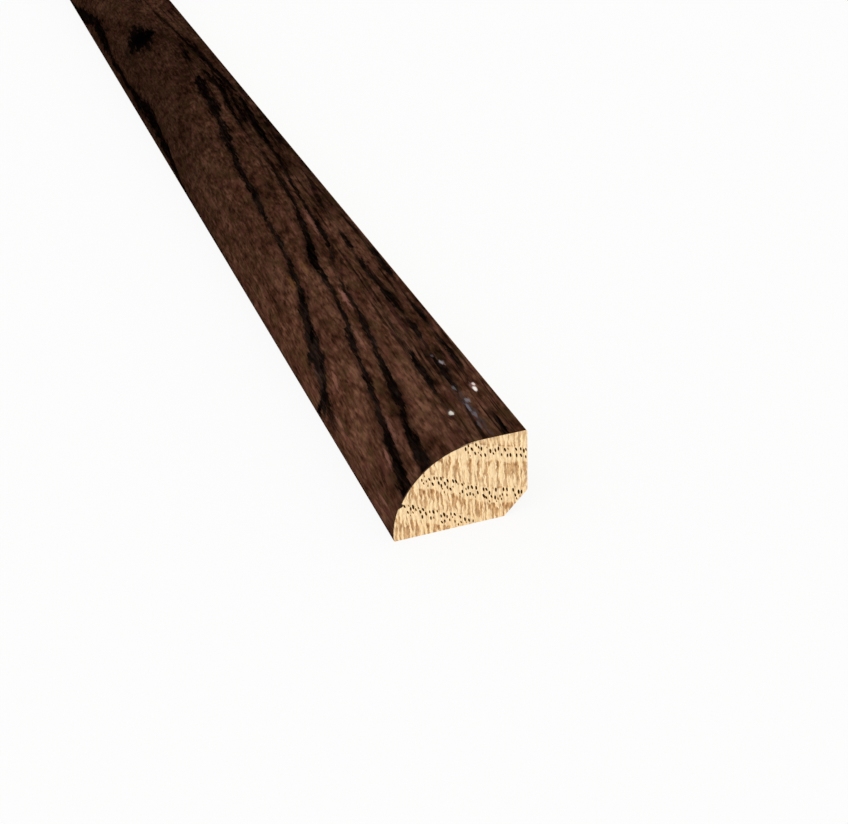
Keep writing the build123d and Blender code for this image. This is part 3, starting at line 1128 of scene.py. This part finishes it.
@dataclass
class MouldedStrip:
    """The strip: its milled section, its length, the grain that stands in its faces and its sawn ends."""

    length: float = 1981.2
    width: float = 19.05
    height: float = 12.7
    top_land: float = 6.35
    toe_land: float = 0.5
    relief_leg: float = 3.4
    arris: float = 0.25
    relief_turn: float = 45.0  # degrees at each of its corners

    round_steps: int = 54
    arris_steps: int = 3
    # the shortest and longest side of the section that is divided, and by how many cuts
    side_cuts: tuple[tuple[float, float, int], ...] = ((8.0, 99.0, 11), (5.0, 8.0, 17), (3.0, 5.0, 5))
    near_runs: tuple[Run, ...] = (Run(170.0, (9, 19)), Run(165.0, (11, 10)))
    rest_rounds: tuple[int, ...] = (9, 26)
    about: Span = (0.98, 1.02)  # how near its length an edge is to count as a run's
    merged: float = 0.001  # points nearer than this are one
    end_square: float = 0.9  # how squarely an end looks along the strip
    squarely: float = 0.7  # how squarely another face looks one way
    floor_square: float = 0.3  # and the floor's side downwards
    wall_edge: float = 0.08  # how near the wall's side a face is part of it
    smooth_angle: float = 36.0

    pore_depth: float = 0.33
    pore_across: float = 0.21
    pore_tall: float = 0.54
    pore_sides: int = 8
    pore_taper: Span = (0.30, 0.80)  # its radius at the bottom and past its mouth, of those sizes
    pore_lean: Span = (2, 26)  # degrees
    pore_growth: Span = (0.93, 1.07)
    pore_deepens: Span = (2.2, -1.6)  # the share of its depth: times its size, and more
    pore_least: float = 0.15  # and at least
    far_shift: float = 0.05  # how far the far end's vessels are from the near end's
    line_depth: float = 0.12
    line_flat: float = 1.3  # how far out a line's floor reaches, in half widths
    bold_half: float = 0.3  # the half width from which a line has its full depth
    fine_half: float = 0.05  # and the least that its floor is drawn with
    knot_depth: float = 0.25
    knot_flat: float = 1.1
    grain_girths: Span = (0.6, 26.0)  # the girths between which the grain stands in the face
    grain_clear: float = 0.1  # how far from a sawn end it stops
    least_recess: float = 0.001
    far_grain: FarGrain = FarGrain()
    seed: int = 11

    map_margin: float = 0.014  # left free beside each row of the bake map
    map_gutter: float = 0.0045  # and between two rows
    end_wide: float = 0.26  # an end face's width on the map
    cell_margin: float = 0.15  # left free round a vessel's wall in its cell

    obj: bpy.types.Object | None = None
    girths: dict[tuple[int, int], float] = field(default_factory=dict)
    total: float = 0.0

    @property
    def near(self) -> float:
        """Gives the near end's X, in metres."""
        return self.length / 2 * MM

    @property
    def toe(self) -> float:
        """Gives the toe's Y, in metres."""
        return -self.width / 2 * MM

    @property
    def runs(self) -> tuple[Run, ...]:
        """Gives every run from the near end, the last with the length that is left."""
        rest = self.length - sum(run.length for run in self.near_runs)
        return (*self.near_runs, Run(rest, self.rest_rounds))

    def build(self) -> bpy.types.Object:
        """Models the strip, lays its maps on it and dresses it.

        Returns:
            The finished piece.
        """
        self.mill_section()
        self.run_length()
        self.open_vessels()
        self.divide_length()
        self.name_surfaces()
        self.lay_face_map()
        self.lay_bake_map()
        self.stand_grain()
        self.dress()
        return self.obj

    def mill_section(self) -> None:
        """Shapes the section at the near end: a plane, its toe rounded, its other corners cut and eased."""
        round_leg = self.width - self.top_land
        squash = (self.height - self.toe_land) / round_leg
        tall = round_leg + self.toe_land / squash
        bpy.ops.object.select_all(action="DESELECT")
        bpy.ops.mesh.primitive_plane_add(
            size=1, location=(self.near, 0, (self.height - tall / 2) * MM), rotation=(0, pi / 2, 0))
        self.obj = bpy.context.active_object
        self.obj.name = self.obj.data.name = "moulded_strip"
        self.obj.scale = (tall * MM, self.width * MM, 1)
        bpy.ops.object.transform_apply(location=True, rotation=True, scale=True)
        bpy.ops.object.mode_set(mode="EDIT")
        top, wall, relief, tiny = self.height * MM, self.width / 2 * MM, self.relief_leg * MM, 0.01 * MM
        ease = partial(bpy.ops.mesh.bevel, affect="VERTICES", offset_type="OFFSET", profile=0.5)
        select(self.obj, "VERT", lambda v: v.co.y < 0 and v.co.z > top / 2)
        ease(offset=round_leg * MM, segments=self.round_steps)
        bpy.ops.mesh.select_all(action="SELECT")
        bpy.ops.transform.resize(value=(1, 1, squash), center_override=(self.near, 0, top))
        select(self.obj, "VERT", lambda v: v.co.y > wall - tiny and v.co.z < tiny)
        ease(offset=relief, segments=1)
        select(self.obj, "VERT", lambda v: (v.co.z < tiny and v.co.y < self.toe + tiny
                                            or v.co.z > top - tiny and v.co.y > wall - tiny))
        ease(offset=self.arris * MM, segments=self.arris_steps)
        select(self.obj, "VERT", lambda v: (v.co.y > wall - tiny and abs(v.co.z - relief) < tiny
                                            or v.co.z < tiny and abs(v.co.y - wall + relief) < tiny))
        ease(offset=self.arris * MM * tan(radians(self.relief_turn / 2)), segments=self.arris_steps - 1)
        bpy.ops.mesh.select_all(action="SELECT")
        bpy.ops.mesh.delete(type="ONLY_FACE")
        for shortest, longest, cuts in self.side_cuts:
            select(self.obj, "EDGE", lambda e: shortest * MM < e.calc_length() < longest * MM)
            bpy.ops.mesh.subdivide(number_cuts=cuts)
        bpy.ops.mesh.select_all(action="SELECT")
        bpy.ops.mesh.edge_face_add()
        bpy.ops.object.mode_set(mode="OBJECT")
        self.measure_girth()

    def key(self, y: float, z: float) -> tuple[int, int]:
        """Gives a place on the section to the nearest micrometre."""
        return round(y * 1e6), round(z * 1e6)

    def measure_girth(self) -> None:
        """Measures how far round the section each point is, from the toe's floor corner up and over."""
        mesh = self.obj.data
        ring = [mesh.vertices[i].co.copy() for i in mesh.polygons[0].vertices]
        first = min(range(len(ring)), key=lambda i: (round(ring[i].z, 6), ring[i].y))
        ring = ring[first:] + ring[:first]
        if ring[1].y > ring[0].y:
            ring = ring[:1] + ring[:0:-1]
        gone = 0.0
        for one, two in zip(ring, ring[1:] + ring[:1]):
            self.girths[self.key(one.y, one.z)] = gone
            gone += (two - one).length / MM
        self.total = gone

    def girth_of(self, co: Vector) -> float:
        """Gives a point's girth, or -1 inside an end face."""
        return self.girths.get(self.key(co.y, co.z), -1.0)

    def run_length(self) -> None:
        """Extrudes the section along the strip, one run for each fineness of its divisions."""
        bpy.ops.object.mode_set(mode="EDIT")
        bpy.ops.mesh.select_mode(type="FACE")
        bpy.ops.mesh.select_all(action="SELECT")
        for run in self.runs:
            bpy.ops.mesh.extrude_region_move(TRANSFORM_OT_translate={"value": (-run.length * MM, 0, 0)})
        bpy.ops.mesh.select_all(action="SELECT")
        bpy.ops.mesh.normals_make_consistent(inside=False)
        bpy.ops.object.mode_set(mode="OBJECT")

    def open_vessels(self) -> None:
        """Bores the open vessels into both sawn ends, with one small tapered cutter that is copied."""
        rng = np.random.default_rng(self.seed)
        for surface in Surface:
            self.obj.data.materials.append(bpy.data.materials.new(surface.name))
        cutter = self.shape_cutter()
        copies = []
        for end in (1, -1):
            for y, z, size in (vessel for ring in RINGS for vessel in ring.vessels):
                lean = rng.uniform(*self.pore_lean)
                grown = size * rng.uniform(*self.pore_growth)
                if end < 0:
                    y, z = y + rng.normal(0, self.far_shift), z + rng.normal(0, self.far_shift)
                copy = cutter.copy()
                copy.data = cutter.data.copy()
                bpy.context.scene.collection.objects.link(copy)
                copy.location = (end * self.near, self.toe + y * MM, z * MM)
                copy.rotation_euler = (radians(lean), 0, 0 if end > 0 else pi)
                slope, more = self.pore_deepens  # a small vessel is shallower too
                deep = min(1.0, max(self.pore_least, slope * size + more))
                copy.scale = (deep, self.pore_across * grown, self.pore_tall * grown)
                copies.append(copy)
        for copy in copies:
            copy.select_set(True)
        cutter.select_set(False)
        bpy.context.view_layer.objects.active = copies[0]
        bpy.ops.object.join()
        joined = bpy.context.active_object
        activate(self.obj)
        bore = self.obj.modifiers.new("vessels", "BOOLEAN")
        bore.operation, bore.object, bore.solver, bore.use_self = "DIFFERENCE", joined, "EXACT", True
        bpy.ops.object.modifier_apply(modifier=bore.name)
        for spent in (joined, cutter):
            bpy.data.objects.remove(spent)

    def shape_cutter(self) -> bpy.types.Object:
        """Shapes the cutter: a tapered peg of unit section that lies along the strip.

        Returns:
            The cutter.
        """
        bottom, mouth = self.pore_taper
        bpy.ops.object.select_all(action="DESELECT")
        bpy.ops.mesh.primitive_cone_add(vertices=self.pore_sides, radius1=bottom * MM, radius2=mouth * MM,
                                        depth=2 * self.pore_depth * MM, rotation=(0, pi / 2, 0))
        cutter = bpy.context.active_object
        cutter.name = "vessel_cutter"
        bpy.ops.object.transform_apply(location=False, rotation=True, scale=False)
        for surface in Surface:
            cutter.data.materials.append(self.obj.data.materials[surface])
        for face in cutter.data.polygons:
            face.material_index = Surface.VESSEL_WALL
        return cutter

    def divide_length(self) -> None:
        """Divides each run along the strip, finely where the strip is seen from near."""
        bpy.ops.object.mode_set(mode="EDIT")
        short, over = self.about
        for run in self.runs:
            long = run.length * MM
            for cuts in run.rounds:
                select(self.obj, "EDGE",
                       lambda e: short * long < abs(e.verts[0].co.x - e.verts[1].co.x) < over * long)
                bpy.ops.mesh.subdivide(number_cuts=cuts)
                long /= cuts + 1
        bpy.ops.mesh.select_all(action="SELECT")
        bpy.ops.mesh.remove_doubles(threshold=self.merged * MM)
        bpy.ops.mesh.normals_make_consistent(inside=False)
        bpy.ops.object.mode_set(mode="OBJECT")

    def name_surfaces(self) -> None:
        """Gives each face the surface that it belongs to, by where it is and how it faces."""
        for face in self.obj.data.polygons:
            if face.material_index == Surface.VESSEL_WALL:
                continue
            beside_wall = face.center.y > (self.width / 2 - self.wall_edge) * MM
            wall = face.normal.y > self.squarely or beside_wall
            floor = face.normal.z < -self.floor_square
            if abs(face.normal.x) > self.end_square:
                face.material_index = Surface.END_GRAIN
            else:
                face.material_index = Surface.LONG_GRAIN if wall or floor else Surface.STAINED_FACE

    def lay_face_map(self) -> None:
        """Unrolls the long faces onto a map in millimetres: along the strip, and round its girth."""
        mesh = self.obj.data
        layer = mesh.uv_layers.new(name=FACE_MAP)
        for face in mesh.polygons:
            girths = [self.girth_of(mesh.vertices[v].co) for v in face.vertices]
            flat = face.material_index in (Surface.END_GRAIN, Surface.VESSEL_WALL)
            high = max(girths) > self.total / 2
            for loop, girth in zip(face.loop_indices, girths):
                co = mesh.vertices[mesh.loops[loop].vertex_index].co
                if flat:
                    layer.data[loop].uv = (co.y / MM, co.z / MM)
                else:
                    girth = self.total if high and girth == 0 else girth
                    layer.data[loop].uv = ((self.near - co.x) / MM, girth)

    def lay_bake_map(self) -> None:
        """Lays all faces side by side on one square: the strip in rows, both ends and the vessels' walls."""
        mesh = self.obj.data
        mesh.uv_layers.new(name=BAKE_MAP)
        unrolled, square = mesh.uv_layers[FACE_MAP].data, mesh.uv_layers[BAKE_MAP].data
        girths: dict[int, list[float]] = {Surface.STAINED_FACE: [], Surface.LONG_GRAIN: []}
        for face in mesh.polygons:
            if face.material_index in girths:
                girths[face.material_index] += [unrolled[loop].uv.y for loop in face.loop_indices]
        spans = {surface: (min(values), max(values)) for surface, values in girths.items()}
        floors, floor = [], self.map_gutter
        for row in MAP_ROWS:
            floors.append(floor)
            floor += row.tall + self.map_gutter
        walls = [face.index for face in mesh.polygons if face.material_index == Surface.VESSEL_WALL]
        left = 2 * (self.map_margin + self.end_wide) + self.map_margin
        wide, tall = 1 - left - self.map_margin, 1 - floor - self.map_margin
        columns = int(np.ceil(np.sqrt(len(walls) * wide / tall)))
        cells = {face: (number % columns, number // columns) for number, face in enumerate(walls)}
        cell = wide / columns
        scale = self.end_wide / self.width
        for face in mesh.polygons:
            places = [unrolled[loop].uv for loop in face.loop_indices]
            if face.material_index == Surface.VESSEL_WALL:
                column, rank = cells[face.index]
                laid = [(left + (column + u) * cell, floor + (rank + v) * cell)
                        for u, v in self.flatten(face)]
            elif face.material_index == Surface.END_GRAIN:
                start = self.map_margin + (0 if face.center.x > 0 else self.map_margin + self.end_wide)
                laid = [(start + (y + self.width / 2) * scale, floor + z * scale) for y, z in places]
            else:
                gone = (self.near - face.center.x) / MM
                number = next(n for n, row in enumerate(MAP_ROWS)
                              if row.surface == face.material_index and row.start <= gone < row.end)
                row, (low, high) = MAP_ROWS[number], spans[face.material_index]
                run = (1 - 2 * self.map_margin) / (row.end - row.start)
                laid = [(self.map_margin + (u - row.start) * run,
                         floors[number] + (v - low) / (high - low) * row.tall) for u, v in places]
            for loop, place in zip(face.loop_indices, laid):
                square[loop].uv = place

    def flatten(self, face: bpy.types.MeshPolygon) -> list[Span]:
        """Lays one small face flat in a unit cell.

        Args:
            face: the face.

        Returns:
            Its corners' places in the cell, clear of the cell's edges.
        """
        mesh = self.obj.data
        places = [mesh.vertices[v].co for v in face.vertices]
        faces_along = abs(face.normal.x) > self.squarely
        side = Vector((0, 1, 0)) if faces_along else face.normal.cross(Vector((1, 0, 0))).normalized()
        other = face.normal.cross(side)
        flat = np.array([(co.dot(side), co.dot(other)) for co in places])
        flat -= flat.min(axis=0)
        flat /= np.maximum(flat.max(axis=0), 1e-9)
        margin = self.cell_margin
        return [(margin + (1 - 2 * margin) * u, margin + (1 - 2 * margin) * v) for u, v in flat]

    def stand_grain(self) -> None:
        """Writes how far each point is from a growth line, and lets the lines and the knot into the face."""
        mesh = self.obj.data
        girth = np.array([self.girth_of(v.co) for v in mesh.vertices])
        gone = np.array([(self.near - v.co.x) / MM for v in mesh.vertices])
        stations, index = np.unique(np.round(gone, 3), return_inverse=True)
        lines, halves = self.far_grain.lines(stations, self.seed)
        slope = np.gradient(lines, stations, axis=1)
        off = (girth[None, :] - lines[:, index]) / np.sqrt(1 + slope[:, index] ** 2)
        nearest = np.abs(off).argmin(axis=0)
        column = np.arange(len(girth))
        side = np.where((off > 0).sum(axis=0) % 2 == 0, 1.0, -1.0)
        gap = np.abs(off[nearest, column]) * side
        half = halves[:, index][nearest, column]
        for name, values in ((GAP, gap), (HALF, half)):
            layer = mesh.attributes.new(name, "FLOAT", "POINT")
            layer.data.foreach_set("value", values.astype(np.float32))
        into = np.clip(self.line_flat - np.abs(gap) / np.maximum(half, self.fine_half), 0, 1)
        into = into * np.clip(half / self.bold_half, 0, 1) * self.line_depth
        knot = np.hypot((gone - KNOT.along) / KNOT.half_length, (girth - KNOT.girth) / KNOT.half_width)
        into = np.maximum(into, np.clip(self.knot_flat - knot, 0, 1) * self.knot_depth)
        low, high = self.grain_girths
        show = (girth > low) & (girth < high)
        show &= (gone > self.grain_clear) & (gone < self.length - self.grain_clear)
        self.let_down(np.where(show, into, 0))

    def let_down(self, into: np.ndarray) -> None:
        """Lets points down into the face.

        Args:
            into: how far, in millimetres, for each vertex.
        """
        group = self.obj.vertex_groups.new(name=RECESS)
        for number in np.flatnonzero(into > self.least_recess):
            group.add([int(number)], float(into[number]), "REPLACE")
        press = self.obj.modifiers.new("relief", "DISPLACE")
        press.direction, press.mid_level, press.strength, press.vertex_group = "NORMAL", 0.0, -MM, RECESS
        bpy.context.view_layer.objects.active = self.obj
        bpy.ops.object.modifier_apply(modifier=press.name)
        self.obj.vertex_groups.clear()

    def dress(self) -> None:
        """Puts the finishes on, rounds the shading and ties the piece to the frame."""
        sawn = SawnOak(self.width, (self.width / 2 - self.top_land, self.toe_land),
                       (self.width - self.top_land, self.height - self.toe_land))
        finishes = {
            Surface.STAINED_FACE: StainedOak().material(PATCHES, KNOT, MARKS),
            Surface.LONG_GRAIN: PlanedOak().material(),
            Surface.END_GRAIN: sawn.material(RINGS),
            Surface.VESSEL_WALL: VesselWall().material(self.near, self.pore_depth),
        }
        for surface, material in finishes.items():
            spare = self.obj.data.materials[surface]
            self.obj.data.materials[surface] = material
            bpy.data.materials.remove(spare)
        activate(self.obj)
        bpy.ops.object.shade_smooth_by_angle(angle=radians(self.smooth_angle))
        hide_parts("shoe_moulding")
        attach(self.obj, "root")


@dataclass(frozen=True)
class Lamp:
    """A soft area lamp: where it hangs and where it points, in metres, its side and its power in watts."""

    role: Role
    place: Place
    aim: Place
    side: float
    power: float

    def hang(self) -> None:
        """Adds the lamp."""
        bpy.ops.object.light_add(type="AREA", location=self.place)
        lamp = bpy.context.active_object
        lamp.name = self.role.value
        lamp.data.shape, lamp.data.size, lamp.data.energy = "SQUARE", self.side, self.power
        lamp.rotation_mode = "QUATERNION"
        lamp.rotation_quaternion = (Vector(self.aim) - Vector(self.place)).to_track_quat("-Z", "Y")


@dataclass(frozen=True)
class Studio:
    """A pale floor, soft light from all round and a camera just off the near end."""

    floor_side: float = 30.0
    board: str = "e8e8e6"
    white: str = "ffffff"
    floor_glow: float = 0.88  # how much of the floor's look is plain white, and not its lit board
    surround: float = 0.86  # strength of the light from all round
    lamps: tuple[Lamp, ...] = (Lamp(Role.KEY, (2.6, -1.6, 2.8), (0.7, 0, 0), 2.4, 34.0),)
    camera_place: Place = (1.145472, -0.056303, 0.113458)
    camera_aim: Place = (0.973224, 0.001205, 0.007988)
    camera_roll: float = -2.375  # degrees
    lens: float = 63.58
    sensor: float = 36.0
    clip: Span = (0.01, 100.0)

    def set_up(self) -> None:
        """Lays the floor, hangs the light and stands the camera."""
        self.lay_floor()
        self.light()
        for lamp in self.lamps:
            lamp.hang()
        self.stand_camera()
        bpy.context.scene.view_settings.view_transform = "Standard"

    def seen(self, add: Adder) -> bpy.types.Node:
        """Adds whether a ray comes straight from the camera or off a gloss."""
        path = add("LightPath").outputs
        return add("Math", (path["Is Camera Ray"], path["Is Glossy Ray"]), operation="MAXIMUM")

    def lay_floor(self) -> None:
        """Lays a white floor, which looks white to the camera and keeps the strip's shadow."""
        bpy.ops.mesh.primitive_plane_add(size=self.floor_side, location=(0, 0, 0))
        floor = bpy.context.active_object
        floor.name = "studio_floor"
        material, tree = new_material("painted_board_matt_white")
        add = partial(add_node, tree)
        board = add("BsdfDiffuse", {"Color": linear(self.board)})
        glow = add("Emission", {"Color": linear(self.white), "Strength": 1.0})
        lit = add("MixShader", (self.floor_glow, board, glow))
        shown = add("MixShader", (self.seen(add), board, lit))
        add("OutputMaterial", {"Surface": shown})
        floor.data.materials.append(material)

    def light(self) -> None:
        """Lights the strip evenly from all round, with a white backdrop behind it."""
        world = bpy.data.worlds.new("studio_surround")
        bpy.context.scene.world = world
        world.use_nodes = True
        world.node_tree.nodes.clear()
        add = partial(add_node, world.node_tree)
        soft = add("Background", {"Color": linear(self.white), "Strength": self.surround})
        white = add("Background", {"Color": linear(self.white), "Strength": 1.0})
        mixed = add("MixShader", (self.seen(add), soft, white))
        add("OutputWorld", {"Surface": mixed})

    def stand_camera(self) -> None:
        """Stands the camera at the photograph's viewpoint."""
        bpy.ops.object.camera_add(location=self.camera_place)
        camera = bpy.context.active_object
        camera.name = "product_camera"
        turn = (Vector(self.camera_aim) - Vector(self.camera_place)).to_track_quat("-Z", "Y")
        camera.rotation_mode = "QUATERNION"
        camera.rotation_quaternion = turn @ Quaternion((0, 0, 1), radians(self.camera_roll))
        camera.data.lens, camera.data.sensor_width = self.lens, self.sensor
        camera.data.clip_start, camera.data.clip_end = self.clip
        bpy.context.scene.camera = camera


def main() -> None:
    """Builds the studio and the strip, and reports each."""
    logging.basicConfig(level=logging.INFO, format="%(name)s: %(message)s")
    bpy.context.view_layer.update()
    Studio().set_up()
    log.info("studio set up")
    strip = MouldedStrip().build()
    strip.data.calc_loop_triangles()
    log.info("%s: %d triangles", strip.name, len(strip.data.loop_triangles))


if __name__ == "__main__":
    main()
